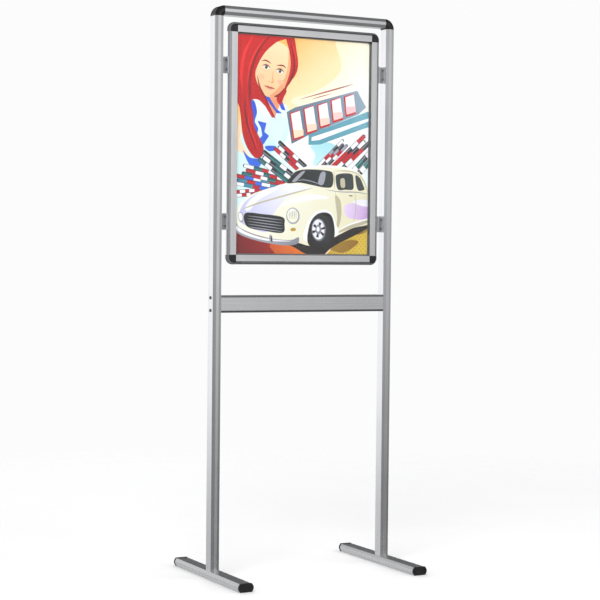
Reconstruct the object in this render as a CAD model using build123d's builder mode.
from build123d import *
import math
import os

# Free-standing poster stand. Two faceted posts on low T-shaped feet carry a top bar, a cross bar
# and, on four brackets, a single-sided snap frame. Millimetres, +Z up, the front faces -Y, and
# the origin is on the floor at the centre of the stand.

os.makedirs("parts", exist_ok=True)

# ---------------------------------------------------------------- driving dimensions
total_height = 1480.0
bracket_gap = 17.5  # between each post and the snap frame, which the brackets fill
frame_top_gap = 15.0  # between the top bar and the snap frame
cross_bar_gap = 80.0  # between the snap frame and the cross bar

# Faceted extrusion of the posts and the top bar: flat sides, shallow facets front and back.
post_width = 24.0
post_depth = 36.0
post_facet_width = 8.0
post_facet_depth = 3.5
post_wall = 1.8
extrusion_edge_radius = 0.8

# Moulded elbows between the posts and the top bar.
elbow_inner_radius = 3.0
spigot_length = 35.0
spigot_wall = 2.0
spigot_clearance = 0.1

# Cross bar, held by two long screws through each post.
cross_bar_height = 45.0
cross_bar_facet_height = 5.5
cross_bar_facet_depth = 3.0
cross_bar_wall = 1.6
cross_screw_spacing = 33.0
cross_screw_grip = 32.0  # how far the screws reach into the cross bar
screw_port_wall = 2.4

# Feet, with the end caps just proud of the extrusion so that only the caps touch the floor.
foot_length = 400.0
foot_width = 40.0
foot_height = 20.5
foot_facet_width = 4.5
foot_facet_height = 7.0
foot_wall = 2.0
foot_access_radius = 9.0  # hole in the underside, for the bolt and its key
cap_length = 6.0
cap_proud = 0.8
cap_end_radius = 1.6
cap_spigot_length = 18.0

# Threaded plug and bolt that tie a post to its foot.
plug_height = 35.0
bolt_radius = 4.0
bolt_length = 30.0
bolt_head_radius = 6.5
bolt_head_height = 8.0
bolt_key_size = 6.0  # across flats
bolt_key_depth = 4.0
washer_radius = 8.0
washer_thickness = 1.6
bolt_hole_clearance = 0.3
thread_clearance = 0.05

# Snap frame for one sheet of 420 x 594.
sheet_width = 420.0
sheet_height = 594.0
sheet_margin = 9.0  # of the sheet that the rails cover on each side
rail_width = 25.0
frame_depth = 12.5
frame_setback = 6.0  # of the frame's front behind the posts' fronts
frame_corner_radius = 19.0
base_wall = 1.4
base_floor_width = 21.5
base_edge_radius = 7.5
panel_rib = 1.0  # rib that keeps the back panel central
panel_rib_inset = 14.0
panel_thickness = 3.0
panel_clearance = 0.2
poster_thickness = 0.3
cover_thickness = 0.5
cover_clearance = 0.2  # between the shut rails' lips and the cover sheet

# Rail hinge: a bead along the base profile inside a hook along the rail.
bead_inset = 9.0
bead_radius = 1.2
bead_clearance = 0.06
bead_neck = 1.2
rail_wall = 1.3
rail_gap = 0.3
rail_end_gap = 0.4
rail_open_angle = 85.0
hook_margin = 3.0  # degrees of air between the hook's ends and the bead's neck
tenon_length = 22.0
tenon_clearance = 0.2
tenon_height = 4.0

# Leaf springs under the rails.
spring_strip = 0.5
spring_length = 45.0
spring_air = 0.3
spring_tip_reach = 3.6  # of the sprung tip inward from the bead
spring_belly_reach = 2.2
long_side_spring_pitch = 200.0
short_side_spring_pitch = 240.0

# Brackets between the posts and the frame's sides: channels that open to the front.
bracket_height = 43.0
bracket_depth = 18.0
bracket_wall = 2.0
bracket_bend_radius = 2.4
bracket_spacing = 404.0  # between the upper and the lower pair
bracket_front_inset = 1.5  # behind the frame's front
bracket_screw_spacing = 24.0

# Screws: pan heads on plain shanks.
bracket_screw_radius = 1.6
bracket_screw_head_radius = 3.2
bracket_screw_head_height = 2.0
bracket_screw_length = 6.0
cross_screw_radius = 2.2
cross_screw_head_radius = 4.2
cross_screw_head_height = 2.6
screw_slot_width = 1.0
screw_slot_depth = 1.1
screw_head_rounding = 0.6  # share of the head's height
cut_overrun = 1.0  # how far a hole's cut runs past the wall

# ---------------------------------------------------------------- derived places
frame_width = sheet_width + 2 * (rail_width - sheet_margin)
frame_height = sheet_height + 2 * (rail_width - sheet_margin)
frame_front = -post_depth / 2 + frame_setback
frame_top = total_height - post_width - frame_top_gap
frame_centre = frame_top - frame_height / 2
frame_bottom = frame_top - frame_height

post_inner_x = frame_width / 2 + bracket_gap
post_x = post_inner_x + post_width / 2
post_flat_depth = post_depth - 2 * post_facet_depth
foot_top = cap_proud + foot_height
foot_centre = cap_proud + foot_height / 2
elbow_outer_radius = elbow_inner_radius + post_width
post_top = total_height - elbow_outer_radius
top_bar_half = post_inner_x - elbow_inner_radius
top_bar_centre = total_height - post_width / 2
cross_bar_depth = post_flat_depth
cross_bar_centre = frame_bottom - cross_bar_gap - cross_bar_height / 2

floor_front = frame_depth - base_wall
hook_radius = bead_radius + bead_clearance + rail_wall
panel_front = floor_front - panel_thickness
poster_front = panel_front - poster_thickness
cover_front = poster_front - cover_thickness
lip_depth = cover_front - cover_clearance
panel_inset = panel_rib_inset + panel_rib + panel_clearance


# ---------------------------------------------------------------- shared outlines
def faceted(width, depth, facet_width, facet_depth, inset=0.0, radius=0.0):
    """Octagon with one cut per corner, moved in by inset, its corners rounded by radius."""
    a, b = width / 2, depth / 2
    corners = []
    for sx, sy in ((1, 1), (-1, 1), (-1, -1), (1, -1)):
        pair = [(sx * a, sy * (b - facet_depth)), (sx * (a - facet_width), sy * b)]
        corners += pair if sx * sy > 0 else pair[::-1]
    with BuildSketch() as outline:
        with BuildLine():
            Polyline(*corners, close=True)
        make_face()
        if inset:
            offset(amount=-inset, kind=Kind.INTERSECTION)
        if radius:
            fillet(outline.vertices(), radius)
    return outline.sketch


def arc_band(centre, inner, outer, start, size):
    """Face between two arcs about one centre, closed by radial ends. Angles in degrees."""
    with BuildSketch() as band:
        with BuildLine():
            far = CenterArc(centre, outer, start, size)
            near = CenterArc(centre, inner, start, size)
            Line(far @ 0, near @ 0)
            Line(far @ 1, near @ 1)
        make_face()
    return band.sketch


post_section = (post_width, post_depth, post_facet_width, post_facet_depth)
bar_section = (post_depth, post_width, post_facet_depth, post_facet_width)
foot_section = (foot_width, foot_height, foot_facet_width, foot_facet_height)
cross_section = (cross_bar_depth, cross_bar_height, cross_bar_facet_depth, cross_bar_facet_height)

post_outline = faceted(*post_section, radius=extrusion_edge_radius)
post_bore = faceted(*post_section, inset=post_wall)
post_spigot = faceted(*post_section, inset=post_wall + spigot_clearance)
post_spigot_bore = faceted(*post_section, inset=post_wall + spigot_clearance + spigot_wall)
bar_outline = faceted(*bar_section, radius=extrusion_edge_radius)
bar_bore = faceted(*bar_section, inset=post_wall)
bar_spigot = faceted(*bar_section, inset=post_wall + spigot_clearance)
bar_spigot_bore = faceted(*bar_section, inset=post_wall + spigot_clearance + spigot_wall)
foot_outline = faceted(*foot_section, radius=extrusion_edge_radius)
foot_bore = faceted(*foot_section, inset=foot_wall)
cap_outline = faceted(*foot_section, inset=-cap_proud, radius=extrusion_edge_radius)
cap_spigot = faceted(*foot_section, inset=foot_wall + spigot_clearance)
cap_spigot_bore = faceted(*foot_section, inset=foot_wall + spigot_clearance + spigot_wall)
cross_outline = faceted(*cross_section, radius=extrusion_edge_radius)
cross_bore = faceted(*cross_section, inset=cross_bar_wall)


def finish(piece, name):
    """Labels the finished piece and writes it as the node of that name."""
    piece.part.label = name
    export_step(piece.part, f"parts/{name}.step")


def screw_row(plane, heights, shank_radius, shank_length, head_radius, head_height):
    """Pan-head screws at local y = heights; the plane is the seat and its normal the head's way."""
    with BuildPart() as row:
        for height in heights:
            with BuildSketch(plane):
                with Locations((0, height)):
                    Circle(head_radius)
            extrude(amount=head_height)
            with BuildSketch(plane):
                with Locations((0, height)):
                    Circle(shank_radius)
            extrude(amount=-shank_length)
        rims = row.edges().filter_by(GeomType.CIRCLE)
        tops = rims.filter_by(lambda rim: plane.to_local_coords(rim.center()).Z > head_height / 2)
        fillet(tops, head_height * screw_head_rounding)
        for height in heights:
            with BuildSketch(plane.offset(head_height)):
                with Locations((0, height)):
                    Rectangle(head_radius, screw_slot_width)
                    Rectangle(screw_slot_width, head_radius)
            extrude(amount=-screw_slot_depth, mode=Mode.SUBTRACT)
    return row.part


sides = (("left", -1), ("right", 1))
cross_screw_heights = (
    cross_bar_centre - cross_screw_spacing / 2,
    cross_bar_centre + cross_screw_spacing / 2,
)
bracket_centres = {
    "upper": frame_centre + bracket_spacing / 2,
    "lower": frame_centre - bracket_spacing / 2,
}
bracket_back = frame_front + bracket_front_inset + bracket_depth
bracket_screw_y = frame_front + (base_edge_radius + floor_front) / 2
bracket_screw_heights = tuple(
    centre + step * bracket_screw_spacing / 2
    for centre in bracket_centres.values()
    for step in (-1, 1)
)

# ---------------------------------------------------------------- posts
for name, side in sides:
    with BuildPart() as post:
        with BuildSketch(Plane.XY.offset(foot_top)):
            with Locations((side * post_x, 0)):
                add(post_outline)
                add(post_bore, mode=Mode.SUBTRACT)
        extrude(amount=post_top - foot_top)
        # Cross bar screws pass through both walls.
        with BuildSketch(Plane.YZ.offset(side * post_x)):
            with Locations(*[(0, height) for height in cross_screw_heights]):
                Circle(cross_screw_radius + bolt_hole_clearance)
        extrude(amount=post_width, both=True, mode=Mode.SUBTRACT)
        # Bracket screws bite in the inner wall only.
        with BuildSketch(Plane.YZ.offset(side * post_inner_x)):
            with Locations(*[(bracket_screw_y, height) for height in bracket_screw_heights]):
                Circle(bracket_screw_radius + thread_clearance)
        extrude(amount=post_wall + cut_overrun, both=True, mode=Mode.SUBTRACT)
    finish(post, f"{name}_post")

# ---------------------------------------------------------------- top bar and its elbows
with BuildPart() as top_bar:
    with BuildSketch(Plane.YZ):
        with Locations((0, top_bar_centre)):
            add(bar_outline)
            add(bar_bore, mode=Mode.SUBTRACT)
    extrude(amount=top_bar_half, both=True)
finish(top_bar, "top_bar")

for name, side in sides:
    bend_axis = Axis((side * top_bar_half, 0, post_top), (0, -side, 0))
    with BuildPart() as elbow:
        with BuildSketch(Plane.XY.offset(post_top)):
            with Locations((side * post_x, 0)):
                add(post_outline)
        revolve(axis=bend_axis, revolution_arc=90)
        with BuildSketch(Plane.XY.offset(post_top)):
            with Locations((side * post_x, 0)):
                add(post_spigot)
        extrude(amount=-spigot_length)
        with BuildSketch(Plane.XY.offset(post_top - spigot_length)):
            with Locations((side * post_x, 0)):
                add(post_spigot_bore)
        extrude(amount=spigot_length, mode=Mode.SUBTRACT)
        with BuildSketch(Plane.YZ.offset(side * top_bar_half)):
            with Locations((0, top_bar_centre)):
                add(bar_spigot)
        extrude(amount=-side * spigot_length)
        with BuildSketch(Plane.YZ.offset(side * (top_bar_half - spigot_length))):
            with Locations((0, top_bar_centre)):
                add(bar_spigot_bore)
        extrude(amount=side * spigot_length, mode=Mode.SUBTRACT)
    finish(elbow, f"{name}_top_elbow")

# ---------------------------------------------------------------- cross bar and its screws
port_bore = cross_screw_radius + thread_clearance
with BuildPart() as cross_bar:
    with BuildSketch(Plane.YZ):
        with Locations((0, cross_bar_centre)):
            add(cross_outline)
            add(cross_bore, mode=Mode.SUBTRACT)
        for end in (-1, 1):
            port = cross_bar_centre + end * cross_screw_spacing / 2
            wall = cross_bar_centre + end * (cross_bar_height - cross_bar_wall) / 2
            with Locations((0, (port + wall) / 2)):
                Rectangle(screw_port_wall, abs(wall - port))
            with Locations((0, port)):
                Circle(port_bore + screw_port_wall / 2)
                Circle(port_bore, mode=Mode.SUBTRACT)
    extrude(amount=post_inner_x, both=True)
finish(cross_bar, "cross_bar")

with BuildPart() as cross_bar_screws:
    for name, side in sides:
        seat = Plane(
            origin=(side * (post_x + post_width / 2), 0, 0),
            x_dir=(0, side, 0),
            z_dir=(side, 0, 0),
        )
        add(
            screw_row(
                seat,
                cross_screw_heights,
                cross_screw_radius,
                post_width + cross_screw_grip,
                cross_screw_head_radius,
                cross_screw_head_height,
            )
        )
finish(cross_bar_screws, "cross_bar_screws")

# ---------------------------------------------------------------- feet, caps, plugs and bolts
foot_half = foot_length / 2 - cap_length
for name, side in sides:
    with BuildPart() as foot:
        with BuildSketch(Plane.XZ):
            with Locations((side * post_x, foot_centre)):
                add(foot_outline)
                add(foot_bore, mode=Mode.SUBTRACT)
        extrude(amount=foot_half, both=True)
        with BuildSketch(Plane.XY.offset(foot_top)):
            with Locations((side * post_x, 0)):
                Circle(bolt_radius + bolt_hole_clearance)
        extrude(amount=foot_wall + cut_overrun, both=True, mode=Mode.SUBTRACT)
        with BuildSketch(Plane.XY.offset(cap_proud)):
            with Locations((side * post_x, 0)):
                Circle(foot_access_radius)
        extrude(amount=foot_wall + cut_overrun, both=True, mode=Mode.SUBTRACT)
    finish(foot, f"{name}_foot")

    for end_name, end in (("front", -1), ("rear", 1)):
        outward = (0, end, 0)
        inward = (0, -end, 0)
        cap_seat = Plane((side * post_x, end * foot_half, foot_centre), (1, 0, 0), (0, -1, 0))
        with BuildPart() as foot_cap:
            with BuildSketch(cap_seat):
                add(cap_outline)
            extrude(amount=cap_length, dir=outward)
            fillet(foot_cap.edges().group_by(Axis.Y)[-1 if end > 0 else 0], cap_end_radius)
            with BuildSketch(cap_seat):
                add(cap_spigot)
                add(cap_spigot_bore, mode=Mode.SUBTRACT)
            extrude(amount=cap_spigot_length, dir=inward)
        finish(foot_cap, f"{name}_{end_name}_foot_cap")

    with BuildPart() as plug:
        with BuildSketch(Plane.XY.offset(foot_top)):
            with Locations((side * post_x, 0)):
                add(post_spigot)
                Circle(bolt_radius + thread_clearance, mode=Mode.SUBTRACT)
        extrude(amount=plug_height)
    finish(plug, f"{name}_post_plug")

washer_top = foot_top - foot_wall
with BuildPart() as foot_washers:
    with BuildSketch(Plane.XY.offset(washer_top)):
        with Locations((-post_x, 0), (post_x, 0)):
            Circle(washer_radius)
            Circle(bolt_radius + bolt_hole_clearance, mode=Mode.SUBTRACT)
    extrude(amount=-washer_thickness)
finish(foot_washers, "foot_washers")

bolt_seat = washer_top - washer_thickness
with BuildPart() as foot_bolts:
    with BuildSketch(Plane.XY.offset(bolt_seat)):
        with Locations((-post_x, 0), (post_x, 0)):
            Circle(bolt_radius)
    extrude(amount=bolt_length)
    with BuildSketch(Plane.XY.offset(bolt_seat)):
        with Locations((-post_x, 0), (post_x, 0)):
            Circle(bolt_head_radius)
    extrude(amount=-bolt_head_height)
    with BuildSketch(Plane.XY.offset(bolt_seat - bolt_head_height)):
        with Locations((-post_x, 0), (post_x, 0)):
            RegularPolygon(bolt_key_size / 2, 6, major_radius=False)
    extrude(amount=bolt_key_depth, mode=Mode.SUBTRACT)
finish(foot_bolts, "foot_bolts")

# ---------------------------------------------------------------- brackets and their screws
bracket_x = post_inner_x - bracket_gap / 2
for level, centre in bracket_centres.items():
    for name, side in sides:
        with BuildPart() as bracket:
            with BuildSketch(Plane.XY.offset(centre - bracket_height / 2)) as channel:
                with Locations((side * bracket_x, bracket_back - bracket_depth / 2)):
                    Rectangle(bracket_gap, bracket_depth)
                fillet(channel.vertices().group_by(Axis.Y)[-1], bracket_bend_radius)
                inner_depth = bracket_depth - bracket_wall
                with Locations((side * bracket_x, bracket_back - bracket_wall - inner_depth / 2)):
                    Rectangle(bracket_gap - 2 * bracket_wall, inner_depth, mode=Mode.SUBTRACT)
            extrude(amount=bracket_height)
            with BuildSketch(Plane.YZ.offset(side * bracket_x)):
                with Locations(
                    (bracket_screw_y, centre - bracket_screw_spacing / 2),
                    (bracket_screw_y, centre + bracket_screw_spacing / 2),
                ):
                    Circle(bracket_screw_radius + thread_clearance)
            extrude(amount=bracket_gap, both=True, mode=Mode.SUBTRACT)
        finish(bracket, f"{name}_{level}_bracket")

screw_size = (
    bracket_screw_radius,
    bracket_screw_length,
    bracket_screw_head_radius,
    bracket_screw_head_height,
)
for target, wall_x, way in (
    ("post", post_inner_x - bracket_wall, -1),
    ("frame", frame_width / 2 + bracket_wall, 1),
):
    with BuildPart() as bracket_screws:
        for name, side in sides:
            seat = Plane(
                origin=(side * wall_x, bracket_screw_y, 0),
                x_dir=(0, side * way, 0),
                z_dir=(side * way, 0, 0),
            )
            add(screw_row(seat, bracket_screw_heights, *screw_size))
    finish(bracket_screws, f"bracket_{target}_screws")

# ---------------------------------------------------------------- snap frame
# Each side's section is drawn with x from the frame's outer edge inward and y from its front to
# its back, on a plane whose normal runs along that side.
long_side = frame_height - 2 * rail_width
short_side = frame_width - 2 * rail_width
frame_sides = {
    "left": (Plane((-frame_width / 2, frame_front, frame_centre), (1, 0, 0), (0, 0, 1)), long_side),
    "right": (Plane((frame_width / 2, frame_front, frame_centre), (-1, 0, 0), (0, 0, -1)), long_side),
    "top": (Plane((0, frame_front, frame_top), (0, 0, -1), (1, 0, 0)), short_side),
    "bottom": (Plane((0, frame_front, frame_bottom), (0, 0, 1), (-1, 0, 0)), short_side),
}

bead_centre = (bead_inset, hook_radius)
edge_centre = (base_edge_radius, base_edge_radius)
edge_stop = bead_inset - hook_radius - rail_gap  # where the rounded edge ends, before the rail
edge_arc = math.degrees(math.acos((base_edge_radius - edge_stop) / (base_edge_radius - base_wall)))
rounded_edge = arc_band(edge_centre, base_edge_radius - base_wall, base_edge_radius, 180, edge_arc)

neck_half_angle = math.degrees(math.asin(bead_neck / 2 / (bead_radius + bead_clearance)))
hook_air = neck_half_angle + hook_margin
hook = arc_band(
    bead_centre,
    bead_radius + bead_clearance,
    hook_radius,
    90 + rail_open_angle + hook_air,
    360 - rail_open_angle - 2 * hook_air,
)

for name, (plane, length) in frame_sides.items():
    with BuildPart() as base_profile:
        with BuildSketch(plane):
            with Locations((base_floor_width / 2, frame_depth - base_wall / 2)):
                Rectangle(base_floor_width, base_wall)
            with Locations((base_wall / 2, (base_edge_radius + frame_depth) / 2)):
                Rectangle(base_wall, frame_depth - base_edge_radius)
            add(rounded_edge)
            with Locations(bead_centre):
                Circle(bead_radius)
            with Locations((bead_inset, (hook_radius + frame_depth) / 2)):
                Rectangle(bead_neck, frame_depth - hook_radius)
            with Locations((panel_rib_inset + panel_rib / 2, (panel_front + frame_depth) / 2)):
                Rectangle(panel_rib, frame_depth - panel_front)
        extrude(amount=length / 2, both=True)
        if name in ("left", "right"):
            side = -1 if name == "left" else 1
            with BuildSketch(Plane.YZ.offset(side * frame_width / 2)):
                with Locations(*[(bracket_screw_y, height) for height in bracket_screw_heights]):
                    Circle(bracket_screw_radius + thread_clearance)
            extrude(amount=base_wall + cut_overrun, both=True, mode=Mode.SUBTRACT)
    finish(base_profile, f"{name}_base_profile")

for name, (plane, length) in frame_sides.items():
    with BuildPart() as snap_rail:
        with BuildSketch(plane):
            add(hook)
            with Locations(((bead_inset + rail_width) / 2, rail_wall / 2)):
                Rectangle(rail_width - bead_inset, rail_wall)
            with Locations((rail_width - rail_wall / 2, lip_depth / 2)):
                Rectangle(rail_wall, lip_depth)
        extrude(amount=length / 2 - rail_end_gap, both=True)
    finish(snap_rail, f"{name}_snap_rail")

# Corner blocks: drawn from the frame's outer corner inward, extruded from front to back.
for level, up in (("top", 1), ("bottom", -1)):
    for name, side in sides:
        outer_corner = (side * frame_width / 2, frame_front, frame_centre + up * frame_height / 2)
        face = Plane(outer_corner, x_dir=(-side, 0, 0), z_dir=(0, -side * up, 0))
        backward = (0, 1, 0)
        pocket = rail_width - panel_inset + panel_clearance / 2
        tenon_width = bead_inset - bead_neck / 2 - base_wall - tenon_clearance
        tenon_middle = base_wall + tenon_clearance / 2 + tenon_width / 2
        with BuildPart() as corner:
            with BuildSketch(face) as block:
                with Locations((rail_width / 2, rail_width / 2)):
                    Rectangle(rail_width, rail_width)
                fillet(block.vertices().sort_by_distance((0, 0, 0))[0], frame_corner_radius)
            extrude(amount=frame_depth, dir=backward)
            front_edges = corner.edges().group_by(Axis.Y)[0]
            fillet(front_edges.sort_by_distance(outer_corner)[:3], base_edge_radius)
            with BuildSketch(Plane(face.origin + Vector(0, lip_depth, 0), face.x_dir, face.z_dir)):
                with Locations((rail_width - pocket / 2, rail_width - pocket / 2)):
                    Rectangle(pocket, pocket)
            extrude(amount=floor_front - lip_depth, dir=backward, mode=Mode.SUBTRACT)
            tenon_front = floor_front - tenon_clearance / 2 - tenon_height
            with BuildSketch(Plane(face.origin + Vector(0, tenon_front, 0), face.x_dir, face.z_dir)):
                with Locations((rail_width + tenon_length / 2, tenon_middle)):
                    Rectangle(tenon_length, tenon_width)
                with Locations((tenon_middle, rail_width + tenon_length / 2)):
                    Rectangle(tenon_width, tenon_length)
            extrude(amount=tenon_height, dir=backward)
        finish(corner, f"{level}_{name}_frame_corner")

# Leaf springs: a bowed strip from the corner beside the panel rib up to just under the rail.
spring_foot = (panel_rib_inset - spring_strip, floor_front)
spring_tip = (bead_inset + spring_tip_reach, rail_wall + spring_air)
spring_belly = (bead_inset + spring_belly_reach, (floor_front + rail_wall) / 2)
with BuildPart() as snap_springs:
    for name, (plane, length) in frame_sides.items():
        if length == long_side:
            stations = (-long_side_spring_pitch, 0, long_side_spring_pitch)
        else:
            stations = (-short_side_spring_pitch / 2, short_side_spring_pitch / 2)
        for station in stations:
            with BuildSketch(plane.offset(station - spring_length / 2)):
                with BuildLine():
                    near = ThreePointArc(spring_foot, spring_belly, spring_tip)
                    far = ThreePointArc(
                        (spring_foot[0] + spring_strip, spring_foot[1]),
                        (spring_belly[0] + spring_strip, spring_belly[1]),
                        (spring_tip[0] + spring_strip, spring_tip[1]),
                    )
                    Line(near @ 0, far @ 0)
                    Line(near @ 1, far @ 1)
                make_face()
            extrude(amount=spring_length)
finish(snap_springs, "snap_springs")

# ---------------------------------------------------------------- back panel, poster and cover
panel_width = frame_width - 2 * panel_inset
panel_height = frame_height - 2 * panel_inset
for name, front, thickness, width, height in (
    ("back_panel", panel_front, panel_thickness, panel_width, panel_height),
    ("poster", poster_front, poster_thickness, sheet_width, sheet_height),
    ("cover_sheet", cover_front, cover_thickness, panel_width, panel_height),
):
    with BuildPart() as sheet:
        with BuildSketch(Plane.XZ.offset(-(frame_front + front))):
            with Locations((0, frame_centre)):
                Rectangle(width, height)
        extrude(amount=-thickness)
    finish(sheet, name)
